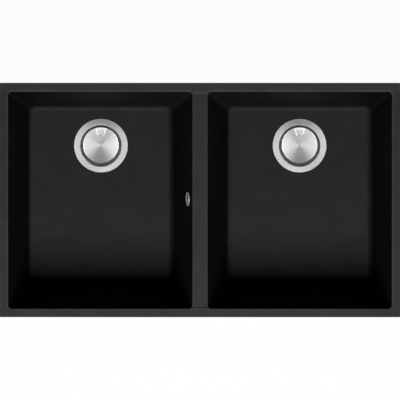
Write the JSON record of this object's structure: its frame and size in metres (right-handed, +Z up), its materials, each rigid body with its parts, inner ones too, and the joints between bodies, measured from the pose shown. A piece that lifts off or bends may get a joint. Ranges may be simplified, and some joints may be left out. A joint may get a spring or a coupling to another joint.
{
  "type": "double bowl kitchen sink",
  "caption": "Black composite undermount kitchen sink with equal tapered bowls, a low divider, basket wastes under lift-off covers and a wall overflow.",
  "frame": {"origin": "centre of the sink in plan, on the top plane of its rim, where the worktop's underside lies", "axes": "+X to the right along the two bowls, +Y to the back, +Z up"},
  "size_m": [0.85, 0.497, 0.293],
  "materials": {
    "composite": "fine matt stone texture, moulded",
    "brushed_steel": "circular brushed",
    "basket_steel": "bright drawn sheet",
    "chrome": "satin chrome",
    "plated_steel": "zinc plated",
    "brass": "turned",
    "rubber": "moulded",
    "black_plastic": "moulded",
    "white_plastic": "moulded polypropylene",
    "hose_plastic": "ribbed flexible hose"
  },
  "bodies": {
    "sink": {"sink_body": "composite", "left_waste_flange": "brushed_steel", "left_flange_gasket": "rubber", "left_waste_body": "white_plastic", "left_body_gasket": "rubber", "left_clamp_screw": "plated_steel", "left_screw_insert": "brass", "right_waste_flange": "brushed_steel", "right_flange_gasket": "rubber", "right_waste_body": "white_plastic", "right_body_gasket": "rubber", "right_clamp_screw": "plated_steel", "right_screw_insert": "brass", "overflow_rosette": "chrome", "overflow_screw": "plated_steel", "overflow_gasket": "rubber", "overflow_elbow": "white_plastic", "overflow_insert": "brass", "overflow_hose": "hose_plastic", "hose_nuts": "white_plastic"},
    "left_basket": {"left_basket": "basket_steel", "left_basket_stem": "basket_steel", "left_basket_seal": "rubber"},
    "left_cover": {"left_cover": "brushed_steel", "left_cover_support": "black_plastic"},
    "right_basket": {"right_basket": "basket_steel", "right_basket_stem": "basket_steel", "right_basket_seal": "rubber"},
    "right_cover": {"right_cover": "brushed_steel", "right_cover_support": "black_plastic"}
  },
  "joints": [
    {"name": "left_basket_lift", "type": "slide", "parent": "sink", "child": "left_basket", "axis": [0, 0, 1], "range_m": [0, 0.08]},
    {"name": "left_cover_lift", "type": "slide", "parent": "left_basket", "child": "left_cover", "axis": [0, 0, 1], "range_m": [0, 0.05]},
    {"name": "right_basket_lift", "type": "slide", "parent": "sink", "child": "right_basket", "axis": [0, 0, 1], "range_m": [0, 0.08]},
    {"name": "right_cover_lift", "type": "slide", "parent": "right_basket", "child": "right_cover", "axis": [0, 0, 1], "range_m": [0, 0.05]}
  ]
}
